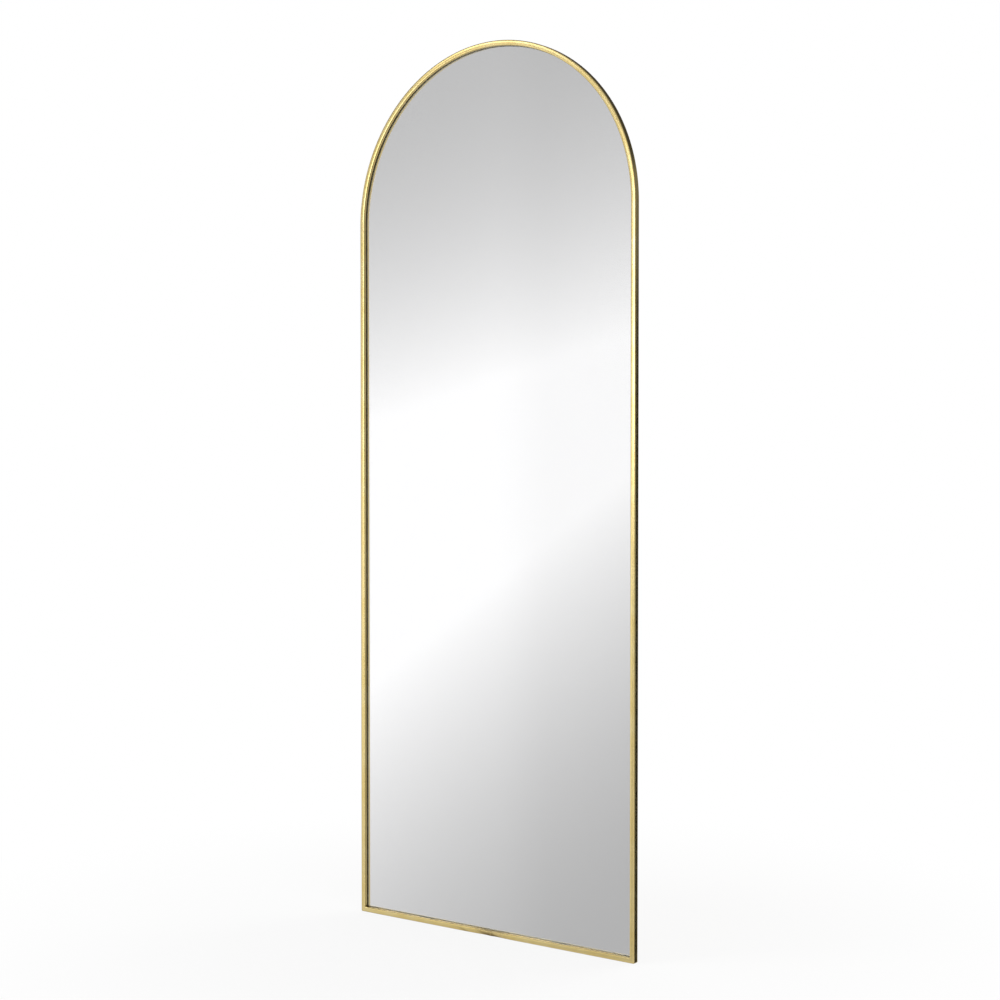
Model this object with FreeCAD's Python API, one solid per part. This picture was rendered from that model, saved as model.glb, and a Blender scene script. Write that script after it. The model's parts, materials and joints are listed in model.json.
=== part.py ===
"""Tall arched floor mirror in a slim brass-plated tube frame.

Millimetres. +X is right, +Z is up and the front looks along -Y. The origin
lies on the floor, midway across the width and midway between the frame's
front face and the ends of the wall bumpers.

The frame is one length of rectangular steel tube. It is rolled to a half
circle at the top, notched and folded at the two bottom corners, and its ends
meet in a dressed butt weld at the middle of the bottom rail. The mirror panel
goes in from the front. It is glass, silvering, safety film and backing board,
and it rests on two setting blocks and lies against tabs welded to the back of
the tube. Two hanger plates carry the rings that hang it on a wall.

Depths are counted from the frame's front face, and insets from the frame's
outer outline towards the middle of the mirror.
"""
import FreeCAD
import Part
import math
import os

Vector = FreeCAD.Vector

# --- Driving dimensions ---------------------------------------------------
WIDTH = 650.0                # outside of the frame, left to right
HEIGHT = 1700.0              # floor to the crown of the arch

TUBE_FACE = 10.0             # tube width seen from the front
TUBE_DEPTH = 13.0            # tube depth, front to back
TUBE_WALL = 1.2
TUBE_CORNER = 1.5            # rounding of the tube's outer edges
FOLD_RADIUS = 2.0            # outer bend at the two folded bottom corners

WELD_GAP = 1.0               # root gap of the butt weld
WELD_DISH = 0.1              # how far the dressed weld lies under the tube's skin

EDGE_GAP = 0.5               # between the tube and the edge of the panel
GLASS_THICKNESS = 4.0
GLASS_ARRIS = 0.4            # ground bevel on the edges of the glass
SILVER_THICKNESS = 0.1
FILM_THICKNESS = 0.1
BOARD_THICKNESS = 2.5
PAD_THICKNESS = 0.3          # bonding tape between the board and its tabs
SEALANT_RECESS = 0.8         # sealant lies this far behind the glass's front

BLOCK_LENGTH = 40.0          # setting blocks under the panel
BLOCK_OFFSET = 160.0         # their distance from the middle

TAB_THICKNESS = 1.5
TAB_WIDTH = 20.0             # along the tube
TAB_REACH = 24.0             # inset of the tab's free end
TAB_CLIP = 3.0               # corners clipped off the tabs
TAB_LOWEST = 140.0           # height of the lowest side tab
TAB_BELOW_RING = 120.0       # highest side tab, below the ring's bar
SIDE_TABS = 4                # on each side, evenly spaced
ARCH_TAB_ANGLES = (30.0, 90.0, 150.0)
BOTTOM_TAB_OFFSET = 165.0
WELD_INSET = 2.0             # inset at which tabs and plates start on the tube
PAD_MARGIN = 2.0             # bonding pad, in from the edges of its tab

HANGER_DROP = 125.0          # ring's bar below the springing of the arch
PLATE_THICKNESS = 1.5
PLATE_REACH = 44.0           # inset of the plate's free end
PLATE_HEIGHT = 42.0
PLATE_LIFT = 4.0             # plate's lower edge above the ring's bar
PLATE_CLIP = 5.0
STRAP_INSET = 31.0           # inset of the strap's and the ring's middle
STRAP_SHEET = 0.8            # strap sheet, folded double round the ring's bar
STRAP_WIDTH = 14.0
STRAP_LENGTH = 27.0          # from the ring's bar to the strap's top
RIVET_RADIUS = 1.6
RIVET_HEAD_RADIUS = 3.2
RIVET_HEAD_HEIGHT = 1.1
RIVET_CLEARANCE = 0.05
RIVET_HEIGHTS = (8.0, 21.0)  # above the ring's bar
COUNTERSINK = 0.8            # rivet tail, set flush in the plate

RING_WIRE_RADIUS = 1.2
RING_WIRE_FLATS = 8          # the round wire is drawn with this many flats
RING_CLEARANCE = 0.08        # between the ring's bar and the strap's eye
RING_RADIUS = 11.0           # middle of the wire round the ring's bow
RING_CORNER = 3.0            # middle of the wire round the ring's shoulders

BUMPER_RADIUS = 3.5
BUMPER_HEIGHT = 5.0
BUMPER_BEVEL = 1.0
BUMPER_ARCH_ANGLES = (60.0, 120.0)
BUMPER_BASE_OFFSET = 250.0

# --- Sizes that follow ----------------------------------------------------
ARCH_RADIUS = WIDTH / 2
SPRING_HEIGHT = HEIGHT - ARCH_RADIUS
HANGER_HEIGHT = SPRING_HEIGHT - HANGER_DROP
TOTAL_DEPTH = TUBE_DEPTH + BUMPER_HEIGHT
FRONT = -TOTAL_DEPTH / 2
BACK_OF_TUBE = FRONT + TUBE_DEPTH

PANEL_INSET = TUBE_FACE + EDGE_GAP
BOARD_BACK = BACK_OF_TUBE - PAD_THICKNESS
BOARD_FRONT = BOARD_BACK - BOARD_THICKNESS
FILM_FRONT = BOARD_FRONT - FILM_THICKNESS
SILVER_FRONT = FILM_FRONT - SILVER_THICKNESS
GLASS_FRONT = SILVER_FRONT - GLASS_THICKNESS

PLATE_BACK = BACK_OF_TUBE + PLATE_THICKNESS
STRAP_BACK = PLATE_BACK + 2 * STRAP_SHEET
EYE_RADIUS = RING_WIRE_RADIUS + RING_CLEARANCE
RING_DEPTH = PLATE_BACK + STRAP_SHEET        # depth of the ring's bar

LEFT = -1
RIGHT = 1
ALONG_X = Vector(1, 0, 0)
ALONG_Y = Vector(0, 1, 0)
ALONG_Z = Vector(0, 0, 1)


# --- Outlines and plates --------------------------------------------------
def closed_polygon(points):
    return Part.makePolygon(list(points) + [points[0]])


def arched_wire(inset, y):
    """The mirror's outline, drawn inset at depth y."""
    half = WIDTH / 2 - inset
    bottom_left = Vector(-half, y, inset)
    bottom_right = Vector(half, y, inset)
    spring_right = Vector(half, y, SPRING_HEIGHT)
    spring_left = Vector(-half, y, SPRING_HEIGHT)
    crown = Vector(0, y, SPRING_HEIGHT + half)
    edges = [
        Part.LineSegment(bottom_left, bottom_right).toShape(),
        Part.LineSegment(bottom_right, spring_right).toShape(),
        Part.Arc(spring_right, crown, spring_left).toShape(),
        Part.LineSegment(spring_left, bottom_left).toShape(),
    ]
    return Part.Wire(edges)


def arched_plate(inset, y, thickness):
    """Flat arched sheet whose front face lies at y."""
    return Part.Face(arched_wire(inset, y)).extrude(ALONG_Y * thickness)


def clipped_plate(left, right, low, high, y, thickness, clip):
    """Upright rectangular plate with its four corners clipped."""
    plate = Part.makeBox(right - left, thickness, high - low, Vector(left, y, low))
    corners = []
    for edge in plate.Edges:
        start, end = [vertex.Point for vertex in edge.Vertexes]
        if abs(end.y - start.y) > thickness / 2:
            corners.append(edge)
    return plate.makeChamfer(clip, corners)


def turned_piece(foot, profile):
    """Solid turned about the line that runs back from foot.

    profile lists (radius, distance behind foot), from the axis round to the axis.
    """
    points = [foot + ALONG_X * radius + ALONG_Y * distance for radius, distance in profile]
    return Part.Face(closed_polygon(points)).revolve(foot, ALONG_Y, 360)


def mirrored(shape):
    """The same piece on the other side of the mirror."""
    return shape.mirror(Vector(0, 0, 0), ALONG_X)


def on_side(shape, side):
    """A piece drawn for the left side, put on the side asked for."""
    if side == LEFT:
        return shape
    return mirrored(shape)


def round_the_arch(shape, angle):
    """A piece drawn at the left springing, turned up and over the arch."""
    turned = shape.copy()
    turned.rotate(Vector(0, 0, SPRING_HEIGHT), ALONG_Y, angle)
    return turned


# --- Frame ----------------------------------------------------------------
def rounded_section(margin, radius):
    """Tube section as a wire: x is the inset, y the depth, margin in from the skin."""
    near = margin
    far_side = TUBE_FACE - margin
    far_back = TUBE_DEPTH - margin
    corner_cut = radius * (1 - math.sqrt(0.5))

    def point(x, y):
        return Vector(x, FRONT + y, 0)

    def line(start, end):
        return Part.LineSegment(point(*start), point(*end)).toShape()

    def arc(start, middle, end):
        return Part.Arc(point(*start), point(*middle), point(*end)).toShape()

    near_cut = near + corner_cut
    side_cut = far_side - corner_cut
    back_cut = far_back - corner_cut
    edges = [
        line((near + radius, near), (far_side - radius, near)),
        arc((far_side - radius, near), (side_cut, near_cut), (far_side, near + radius)),
        line((far_side, near + radius), (far_side, far_back - radius)),
        arc((far_side, far_back - radius), (side_cut, back_cut), (far_side - radius, far_back)),
        line((far_side - radius, far_back), (near + radius, far_back)),
        arc((near + radius, far_back), (near_cut, back_cut), (near, far_back - radius)),
        line((near, far_back - radius), (near, near + radius)),
        arc((near, near + radius), (near_cut, near_cut), (near + radius, near)),
    ]
    return Part.Wire(edges)


def bore_section():
    """The tube's bore as a wire, with the sharp inner corners of a drawn tube."""
    near = FRONT + TUBE_WALL
    far = FRONT + TUBE_DEPTH - TUBE_WALL
    inner_side = TUBE_FACE - TUBE_WALL
    return closed_polygon([
        Vector(TUBE_WALL, near, 0),
        Vector(inner_side, near, 0),
        Vector(inner_side, far, 0),
        Vector(TUBE_WALL, far, 0),
    ])


def tube_section(dish=0.0):
    """Hollow section of the tube as a face, its skin sunk by dish."""
    skin = Part.Face(rounded_section(dish, TUBE_CORNER - dish))
    return skin.cut(Part.Face(bore_section()))


def upright_section():
    """The section at the foot of the left side, ready to go up."""
    section = tube_section()
    section.translate(ALONG_X * (-WIDTH / 2))
    return section


def level_section(dish=0.0):
    """The section turned to run along the bottom, its skin on the floor."""
    section = tube_section(dish)
    section.rotate(Vector(0, 0, 0), ALONG_Y, -90)
    return section


def mitre_block():
    """Everything above the mitre lines of the two bottom corners."""
    beyond = WIDTH
    corners = [
        Vector(-WIDTH / 2, FRONT - 1, 0),
        Vector(0, FRONT - 1, WIDTH / 2),
        Vector(WIDTH / 2, FRONT - 1, 0),
        Vector(beyond, FRONT - 1, 0),
        Vector(beyond, FRONT - 1, HEIGHT),
        Vector(-beyond, FRONT - 1, HEIGHT),
        Vector(-beyond, FRONT - 1, 0),
    ]
    face = Part.Face(closed_polygon(corners))
    return face.extrude(ALONG_Y * (TUBE_DEPTH + 2))


def folded_outline():
    """Solid of the whole outline, with the outer bend at its bottom corners."""
    solid = arched_plate(0, FRONT, TUBE_DEPTH)
    corners = []
    for edge in solid.Edges:
        middle = edge.CenterOfMass
        along_depth = abs(edge.tangentAt(edge.FirstParameter).y) > 0.9
        if along_depth and middle.z < TUBE_FACE:
            corners.append(edge)
    return solid.makeFillet(FOLD_RADIUS, corners)


def frame_tube():
    above = mitre_block()
    upright = upright_section()
    left_side = upright.extrude(ALONG_Z * SPRING_HEIGHT).common(above)
    springing = upright.copy()
    springing.translate(ALONG_Z * SPRING_HEIGHT)
    arch = springing.revolve(Vector(0, 0, SPRING_HEIGHT), ALONG_Y, 180)
    half_rail = level_section()
    half_rail.translate(ALONG_X * (-WIDTH / 2))
    half_rail = half_rail.extrude(ALONG_X * (WIDTH / 2 - WELD_GAP / 2)).cut(above)
    pieces = [arch, mirrored(left_side), half_rail, mirrored(half_rail)]
    ring = left_side.multiFuse(pieces).removeSplitter()
    return ring.common(folded_outline())


def butt_weld():
    """Dressed weld between the tube's two ends, a hair under their skin."""
    bead = level_section(WELD_DISH)
    bead.translate(ALONG_X * (-WELD_GAP / 2))
    return bead.extrude(ALONG_X * WELD_GAP)


# --- Mirror panel ---------------------------------------------------------
def mirror_glass():
    sheet = arched_plate(PANEL_INSET, GLASS_FRONT, GLASS_THICKNESS)
    rims = []
    for edge in sheet.Edges:
        box = edge.BoundBox
        if box.YLength < GLASS_ARRIS:
            rims.append(edge)
    return sheet.makeChamfer(GLASS_ARRIS, rims)


def panel_sheet(front, thickness):
    return arched_plate(PANEL_INSET, front, thickness)


def setting_block(side):
    """Shim that carries the panel's weight on the bottom rail."""
    middle = -BLOCK_OFFSET
    corner = Vector(middle - BLOCK_LENGTH / 2, GLASS_FRONT + GLASS_ARRIS, TUBE_FACE)
    depth = BOARD_BACK - GLASS_FRONT - GLASS_ARRIS
    return on_side(Part.makeBox(BLOCK_LENGTH, depth, EDGE_GAP, corner), side)


def edge_sealant(blocks):
    """Bead that fills the gap all round the panel, except at the setting blocks."""
    front = GLASS_FRONT + SEALANT_RECESS
    depth = BOARD_BACK - front
    bead = arched_plate(TUBE_FACE, front, depth)
    bead = bead.cut(arched_plate(PANEL_INSET, front, depth))
    return bead.cut(blocks)


# --- Tabs behind the panel ------------------------------------------------
def tab_blank(height):
    """One tab on the left side of the frame, at a height."""
    left = -WIDTH / 2 + WELD_INSET
    right = -WIDTH / 2 + TAB_REACH
    low = height - TAB_WIDTH / 2
    high = height + TAB_WIDTH / 2
    return clipped_plate(left, right, low, high, BACK_OF_TUBE, TAB_THICKNESS, TAB_CLIP)


def pad_blank(height, width, reach):
    """The bonding pad between the board and a tab or plate on the left side."""
    left = -WIDTH / 2 + PANEL_INSET + PAD_MARGIN
    right = -WIDTH / 2 + reach - PAD_MARGIN
    low = height - width / 2 + PAD_MARGIN
    corner = Vector(left, BOARD_BACK, low)
    return Part.makeBox(right - left, PAD_THICKNESS, width - 2 * PAD_MARGIN, corner)


def side_heights():
    """Heights of the side tabs, from the lowest up to the one below the hanger."""
    highest = HANGER_HEIGHT - TAB_BELOW_RING
    spacing = (highest - TAB_LOWEST) / (SIDE_TABS - 1)
    return [TAB_LOWEST + index * spacing for index in range(SIDE_TABS)]


def on_bottom_rail(shape, side):
    """A piece drawn on the left side at floor height, moved to the bottom rail."""
    turned = shape.copy()
    turned.rotate(Vector(-WIDTH / 2, 0, 0), ALONG_Y, -90)
    turned.translate(ALONG_X * (WIDTH / 2 - BOTTOM_TAB_OFFSET))
    return on_side(turned, side)


def tabs_on_side(side):
    return Part.makeCompound([on_side(tab_blank(height), side) for height in side_heights()])


def tabs_on_arch():
    blank = tab_blank(SPRING_HEIGHT)
    return Part.makeCompound([round_the_arch(blank, angle) for angle in ARCH_TAB_ANGLES])


def tabs_on_bottom():
    blank = tab_blank(0)
    return Part.makeCompound([on_bottom_rail(blank, side) for side in (LEFT, RIGHT)])


def bonding_pads():
    pads = []
    for side in (LEFT, RIGHT):
        for height in side_heights():
            pads.append(on_side(pad_blank(height, TAB_WIDTH, TAB_REACH), side))
        pads.append(on_bottom_rail(pad_blank(0, TAB_WIDTH, TAB_REACH), side))
        plate_middle = HANGER_HEIGHT + PLATE_LIFT + PLATE_HEIGHT / 2
        pads.append(on_side(pad_blank(plate_middle, PLATE_HEIGHT, PLATE_REACH), side))
    arch_pad = pad_blank(SPRING_HEIGHT, TAB_WIDTH, TAB_REACH)
    for angle in ARCH_TAB_ANGLES:
        pads.append(round_the_arch(arch_pad, angle))
    return Part.makeCompound(pads)


# --- Wall hangers ---------------------------------------------------------
def strap_middle():
    """Where the left strap's middle lies across the mirror."""
    return -WIDTH / 2 + STRAP_INSET


def rivet_foot(height):
    """Where a left rivet's axis meets the plate's front face."""
    return Vector(strap_middle(), BACK_OF_TUBE, HANGER_HEIGHT + height)


def rivet_hole(height):
    """Cutter for a rivet's hole, countersunk in the plate and straight in the strap."""
    grip = STRAP_BACK - BACK_OF_TUBE
    radius = RIVET_RADIUS + RIVET_CLEARANCE
    return turned_piece(rivet_foot(height), [
        (0, 0),
        (radius + COUNTERSINK, 0),
        (radius, COUNTERSINK),
        (radius, grip),
        (0, grip),
    ])


def hanger_plate(side):
    left = -WIDTH / 2 + WELD_INSET
    right = -WIDTH / 2 + PLATE_REACH
    low = HANGER_HEIGHT + PLATE_LIFT
    high = low + PLATE_HEIGHT
    plate = clipped_plate(left, right, low, high, BACK_OF_TUBE, PLATE_THICKNESS, PLATE_CLIP)
    for height in RIVET_HEIGHTS:
        plate = plate.cut(rivet_hole(height))
    return on_side(plate, side)


def hanger_strap(side):
    """Strip folded double round the ring's bar and riveted to the plate."""
    eye_centre = Vector(strap_middle() - STRAP_WIDTH / 2, RING_DEPTH, HANGER_HEIGHT)
    eye_skin = EYE_RADIUS + STRAP_SHEET
    barrel = Part.makeCylinder(eye_skin, STRAP_WIDTH, eye_centre, ALONG_X)
    leaf_corner = Vector(eye_centre.x, PLATE_BACK, HANGER_HEIGHT)
    leaves = Part.makeBox(STRAP_WIDTH, 2 * STRAP_SHEET, STRAP_LENGTH, leaf_corner)
    strap = leaves.fuse(barrel)
    strap = strap.cut(Part.makeCylinder(EYE_RADIUS, STRAP_WIDTH, eye_centre, ALONG_X))
    for height in RIVET_HEIGHTS:
        strap = strap.cut(rivet_hole(height))
    return on_side(strap, side)


def hanger_rivet(height):
    """Rivet of the left strap: countersunk tail, shank and flat head."""
    grip = STRAP_BACK - BACK_OF_TUBE
    return turned_piece(rivet_foot(height), [
        (0, 0),
        (RIVET_RADIUS + COUNTERSINK, 0),
        (RIVET_RADIUS, COUNTERSINK),
        (RIVET_RADIUS, grip),
        (RIVET_HEAD_RADIUS, grip),
        (RIVET_HEAD_RADIUS, grip + RIVET_HEAD_HEIGHT),
        (0, grip + RIVET_HEAD_HEIGHT),
    ])


def hanger_rivets():
    rivets = []
    for side in (LEFT, RIGHT):
        for height in RIVET_HEIGHTS:
            rivets.append(on_side(hanger_rivet(height), side))
    return Part.makeCompound(rivets)


def wire_section(centre):
    """Level section of the ring's wire about a centre."""
    corners = []
    for index in range(RING_WIRE_FLATS):
        angle = 2 * math.pi * (index + 0.5) / RING_WIRE_FLATS
        across = ALONG_X * math.cos(angle) + ALONG_Y * math.sin(angle)
        corners.append(centre + across * RING_WIRE_RADIUS)
    return closed_polygon(corners)


def straight_wire(start, length):
    """Wire that runs from start along X."""
    section = wire_section(start)
    section.rotate(start, ALONG_Y, 90)
    return Part.Face(section).extrude(ALONG_X * length)


def bent_wire(centre, radius, start, sweep):
    """Wire bent about a centre, in the plane of the mirror.

    start is the angle at which the bend begins, from +X towards +Z, and sweep
    is how far it turns, in degrees.
    """
    section = wire_section(centre + ALONG_X * radius)
    section.rotate(centre, ALONG_Y, -start)
    return Part.Face(section).revolve(centre, ALONG_Y, -sweep)


def hanger_ring(side):
    """D-shaped ring that hangs from its straight bar."""
    middle = Vector(strap_middle(), RING_DEPTH, HANGER_HEIGHT)
    shoulder = ALONG_X * (RING_RADIUS - RING_CORNER)
    drop = ALONG_Z * RING_CORNER
    ring = straight_wire(middle - shoulder, 2 * shoulder.Length).multiFuse([
        bent_wire(middle - drop, RING_RADIUS, 180, 180),
        bent_wire(middle - shoulder - drop, RING_CORNER, 90, 90),
        bent_wire(middle + shoulder - drop, RING_CORNER, 0, 90),
    ])
    return on_side(ring.removeSplitter(), side)


# --- Wall bumpers ---------------------------------------------------------
def bumper_blank(height):
    """One bumper on the back of the left side of the frame."""
    foot = Vector(-WIDTH / 2 + TUBE_FACE / 2, BACK_OF_TUBE, height)
    return turned_piece(foot, [
        (0, 0),
        (BUMPER_RADIUS, 0),
        (BUMPER_RADIUS, BUMPER_HEIGHT - BUMPER_BEVEL),
        (BUMPER_RADIUS - BUMPER_BEVEL, BUMPER_HEIGHT),
        (0, BUMPER_HEIGHT),
    ])


def bumpers_on_arch():
    blank = bumper_blank(SPRING_HEIGHT)
    return Part.makeCompound([round_the_arch(blank, angle) for angle in BUMPER_ARCH_ANGLES])


def bumpers_on_base():
    blank = bumper_blank(TUBE_FACE / 2)
    blank.translate(ALONG_X * (WIDTH / 2 - TUBE_FACE / 2 - BUMPER_BASE_OFFSET))
    return Part.makeCompound([blank, mirrored(blank)])


# --- Assembly -------------------------------------------------------------
def all_nodes():
    blocks = Part.makeCompound([setting_block(side) for side in (LEFT, RIGHT)])
    nodes = {
        "frame_tube": frame_tube(),
        "butt_weld": butt_weld(),
        "mirror_glass": mirror_glass(),
        "silver_coating": panel_sheet(SILVER_FRONT, SILVER_THICKNESS),
        "safety_film": panel_sheet(FILM_FRONT, FILM_THICKNESS),
        "backing_board": panel_sheet(BOARD_FRONT, BOARD_THICKNESS),
        "setting_blocks": blocks,
        "edge_sealant": edge_sealant(blocks),
        "tabs_arch": tabs_on_arch(),
        "tabs_bottom": tabs_on_bottom(),
        "bonding_pads": bonding_pads(),
        "bumpers_arch": bumpers_on_arch(),
        "bumpers_base": bumpers_on_base(),
        "hanger_rivets": hanger_rivets(),
    }
    for side, name in ((LEFT, "left"), (RIGHT, "right")):
        nodes["tabs_" + name] = tabs_on_side(side)
        nodes["hanger_plate_" + name] = hanger_plate(side)
        nodes["hanger_strap_" + name] = hanger_strap(side)
        nodes["hanger_ring_" + name] = hanger_ring(side)
    return nodes


def write_nodes():
    os.makedirs("parts", exist_ok=True)
    for name, shape in all_nodes().items():
        shape.exportStep("parts/" + name + ".step")
        print(name, len(shape.Solids), "solids,", round(shape.Volume / 1000, 3), "cm3")


write_nodes()
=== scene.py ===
"""Looks of a tall arched floor mirror: brass tube frame, silvered glass, board and wall hangers.

Metres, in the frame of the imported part: +X right, +Z up, the glass faces -Y, the floor at Z = 0.
"""

import json
import math

import bmesh
import bpy
from mathutils import Matrix, Vector


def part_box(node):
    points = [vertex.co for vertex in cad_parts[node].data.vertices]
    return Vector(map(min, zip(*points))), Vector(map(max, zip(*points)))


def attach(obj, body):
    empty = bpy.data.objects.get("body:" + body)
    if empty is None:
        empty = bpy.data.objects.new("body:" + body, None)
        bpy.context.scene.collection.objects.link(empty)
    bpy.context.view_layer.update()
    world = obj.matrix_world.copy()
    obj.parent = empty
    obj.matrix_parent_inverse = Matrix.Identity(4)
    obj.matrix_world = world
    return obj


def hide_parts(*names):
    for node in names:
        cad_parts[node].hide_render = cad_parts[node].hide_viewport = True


bl_info = {
    "name": "Arched Floor Mirror",
    "version": (1, 0, 0),
    "blender": (4, 5, 0),
    "location": "View3D > Sidebar > Floor Mirror",
    "description": "Builds the looks of an arched floor mirror around its CAD frame",
    "category": "Object",
}

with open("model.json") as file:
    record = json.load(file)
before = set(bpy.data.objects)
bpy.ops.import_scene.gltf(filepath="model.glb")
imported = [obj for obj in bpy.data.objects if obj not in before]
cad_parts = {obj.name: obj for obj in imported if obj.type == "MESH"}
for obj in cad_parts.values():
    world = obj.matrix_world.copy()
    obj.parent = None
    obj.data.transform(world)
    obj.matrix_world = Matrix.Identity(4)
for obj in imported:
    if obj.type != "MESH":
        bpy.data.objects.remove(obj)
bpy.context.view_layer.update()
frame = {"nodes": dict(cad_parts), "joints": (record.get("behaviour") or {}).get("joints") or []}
NODES = frame["nodes"]

MM = 0.001
NEAR = 0.01 * MM             # a vertex this close to a plane counts as on it
BODY = "mirror"

# --- Sizes read from the CAD frame ----------------------------------------
TUBE_LOW, TUBE_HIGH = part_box("frame_tube")
GLASS_LOW, GLASS_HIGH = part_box("mirror_glass")
SILVER_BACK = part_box("silver_coating")[1].y
SEALANT_LOW, SEALANT_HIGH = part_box("edge_sealant")
HALF_WIDTH = TUBE_HIGH.x
SPRING_HEIGHT = TUBE_HIGH.z - HALF_WIDTH
TUBE_FRONT = TUBE_LOW.y
TUBE_BACK = TUBE_HIGH.y
TUBE_DEPTH = TUBE_BACK - TUBE_FRONT
TUBE_MIDDLE = (TUBE_FRONT + TUBE_BACK) / 2
TUBE_FACE = SEALANT_LOW.z
PANEL_INSET = GLASS_LOW.z
WELD_HALF_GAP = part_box("butt_weld")[1].x

# --- Sizes of the pieces that the frame's boxes don't give ------------------
RAIL_REACH = 2 * TUBE_FACE   # only the bottom rail and the tube's feet lie below this height
FACE_CUTS = 7                # lines along the tube's flat face, where its crown bends
TAB_HALF_WIDTH = 10 * MM
ARCH_TAB_ANGLES = (30, 90, 150)
BEAD_RADIUS = 0.9 * MM

# Where the frame is ground off beside the butt weld:
# (distance from the middle, share of the dish, share of the dent).
WELD_GRINDING = (
    (48 * MM, 0.0, 0.0),
    (36 * MM, 0.35, 0.4),
    (26 * MM, 0.8, 0.9),
    (17 * MM, 1.0, 1.0),
    (8 * MM, 1.0, 0.9),
)
WELD_END_DENT = 0.2          # share of the dent at the tube's very end

# Width of each ripple along a weld bead, as a share of the one before.
BEAD_RIPPLES = (1.7, 1.22, 0.86, 1.16, 0.86, 1.16, 0.86, 1.16, 0.86, 1.1, 0.82, 0.5)

# --- Second tones that the finishes vary towards --------------------------
WHITE = (1.0, 1.0, 1.0, 1.0)
ZINC_BLOOM = (0.62, 0.66, 0.74, 1.0)
AGED_SILVER = (0.55, 0.50, 0.38, 1.0)
THIN_SEALANT = (0.17, 0.12, 0.045, 1.0)
DUSTY_RUBBER = (0.16, 0.16, 0.16, 1.0)
FOAM_TONES = ((0.74, 0.74, 0.72, 1.0), (0.86, 0.86, 0.84, 1.0))
PLASTIC_TONES = ((0.08, 0.08, 0.09, 1.0), (0.13, 0.13, 0.14, 1.0))
FILM_TONES = ((0.56, 0.58, 0.60, 1.0), (0.68, 0.70, 0.72, 1.0))


# --- Modelling helpers ----------------------------------------------------
def deselect_all():
    bpy.ops.object.select_all(action="DESELECT")


def make_active(piece):
    """Selects one piece alone, for the operators to act on."""
    deselect_all()
    piece.select_set(True)
    bpy.context.view_layer.objects.active = piece


def edit(piece):
    make_active(piece)
    bpy.ops.object.mode_set(mode="EDIT")


def leave_edit():
    """Leaves edit mode and puts the piece's place and turn into its mesh."""
    bpy.ops.object.mode_set(mode="OBJECT")
    bpy.ops.object.transform_apply(location=True, rotation=True, scale=True)


def select_vertices(test):
    """Selects, in the mesh being edited, the vertices whose place passes the test."""
    mesh = bmesh.from_edit_mesh(bpy.context.object.data)
    bpy.ops.mesh.select_all(action="DESELECT")
    bpy.ops.mesh.select_mode(type="VERT")
    matrix = bpy.context.object.matrix_world
    for vertex in mesh.verts:
        if test(matrix @ vertex.co):
            vertex.select_set(True)
    mesh.select_flush(True)
    bmesh.update_edit_mesh(bpy.context.object.data)


def select_whole():
    bpy.ops.mesh.select_all(action="SELECT")


def extrude(offset):
    bpy.ops.mesh.extrude_region_move(TRANSFORM_OT_translate={"value": offset})


def shift(offset):
    bpy.ops.transform.translate(value=offset)


def tidy_mesh(weld_distance=0.002 * MM):
    """Joins doubled vertices and turns every face outwards in the mesh being edited."""
    select_whole()
    bpy.ops.mesh.remove_doubles(threshold=weld_distance)
    bpy.ops.mesh.normals_make_consistent(inside=False)


def apply_modifier(piece, kind, **settings):
    make_active(piece)
    modifier = piece.modifiers.new(kind.title(), kind)
    for name, value in settings.items():
        setattr(modifier, name, value)
    bpy.ops.object.modifier_apply(modifier=modifier.name)


def cylinder(vertices, radius, front, back, height=0.0):
    """Cylinder along Y, from front to back."""
    deselect_all()
    bpy.ops.mesh.primitive_cylinder_add(
        vertices=vertices, radius=radius, depth=back - front,
        location=(0, (front + back) / 2, height), rotation=(math.pi / 2, 0, 0),
    )
    return bpy.context.object


def set_material(piece, material):
    piece.data.materials.clear()
    piece.data.materials.append(material)


def finish_piece(piece, name, material, body=BODY, replaced=(), angle=30):
    """Names a piece, shades it, gives it its material and lets it ride on its body."""
    make_active(piece)
    bpy.ops.object.shade_smooth_by_angle(angle=math.radians(angle))
    piece.name = name
    piece.data.name = name
    set_material(piece, material)
    if replaced:
        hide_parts(*replaced)
    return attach(piece, body)


def placed_copy(pattern, matrix):
    """A copy of a modelled piece with its own mesh, moved within the mesh."""
    copy = pattern.copy()
    copy.data = pattern.data.copy()
    copy.data.transform(matrix)
    bpy.context.scene.collection.objects.link(copy)
    return copy


def joined_copies(pattern, matrices):
    """One object made of a copy of the pattern at each place."""
    copies = [placed_copy(pattern, matrix) for matrix in matrices]
    make_active(copies[0])
    for copy in copies:
        copy.select_set(True)
    if len(copies) > 1:
        bpy.ops.object.join()
    return bpy.context.object


def remove(pattern):
    bpy.data.objects.remove(pattern)


# --- Shader helpers -------------------------------------------------------
def fill(tree, socket, value):
    """Links an input to another node's output, or sets it to a value."""
    if isinstance(value, bpy.types.NodeSocket):
        tree.links.new(value, socket)
    else:
        socket.default_value = value


def add_node(tree, kind, inputs=None, **settings):
    """Adds a shader node, sets it and fills its inputs."""
    node = tree.nodes.new("ShaderNode" + kind)
    for name, value in settings.items():
        setattr(node, name, value)
    for socket, value in (inputs or {}).items():
        fill(tree, node.inputs[socket], value)
    return node


def math_node(tree, operation, *values):
    return add_node(tree, "Math", dict(enumerate(values)), operation=operation).outputs[0]


def times(tree, first, second):
    return math_node(tree, "MULTIPLY", first, second)


def split(tree, vector):
    """X, Y and Z of a vector."""
    return add_node(tree, "SeparateXYZ", {0: vector}).outputs


def noise(tree, vector, scale, detail=2.0, distortion=0.0):
    """Noise about the middle of 0 to 1; its scale is in waves per metre."""
    inputs = {"Vector": vector, "Scale": scale, "Detail": detail, "Distortion": distortion}
    return add_node(tree, "TexNoise", inputs).outputs["Fac"]


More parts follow.
